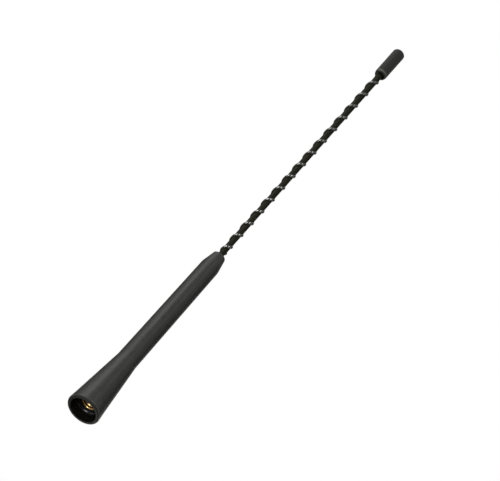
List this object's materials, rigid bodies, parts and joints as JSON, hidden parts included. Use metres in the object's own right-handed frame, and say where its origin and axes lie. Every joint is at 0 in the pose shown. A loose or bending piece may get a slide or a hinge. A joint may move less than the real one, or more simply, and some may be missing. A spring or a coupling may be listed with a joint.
{
  "type": "car mast aerial",
  "caption": "Short screw-on roof aerial: flared rubber grip with a brass threaded insert, slim whip with a spiral rib and a rounded tip cap.",
  "frame": {"origin": "centre of the rim's face, on the whip's axis, where the aerial seats on the roof socket", "axes": "+Z along the whip from the rim to the tip; the threaded hole opens towards -Z; +X is the direction in which the rib stands at one side of the pictured view"},
  "size_m": [0.0174, 0.0174, 0.28],
  "materials": {
    "grip_rubber": "matte moulded, fine grain",
    "ferrule_brass": "turned",
    "rod_steel": "drawn",
    "jacket_plastic": "glossy",
    "cap_rubber": "satin"
  },
  "bodies": {
    "root": {"base_grip": "grip_rubber", "threaded_ferrule": "ferrule_brass", "whip_rod": "rod_steel", "ribbed_jacket": "jacket_plastic", "tip_cap": "cap_rubber"}
  },
  "joints": []
}
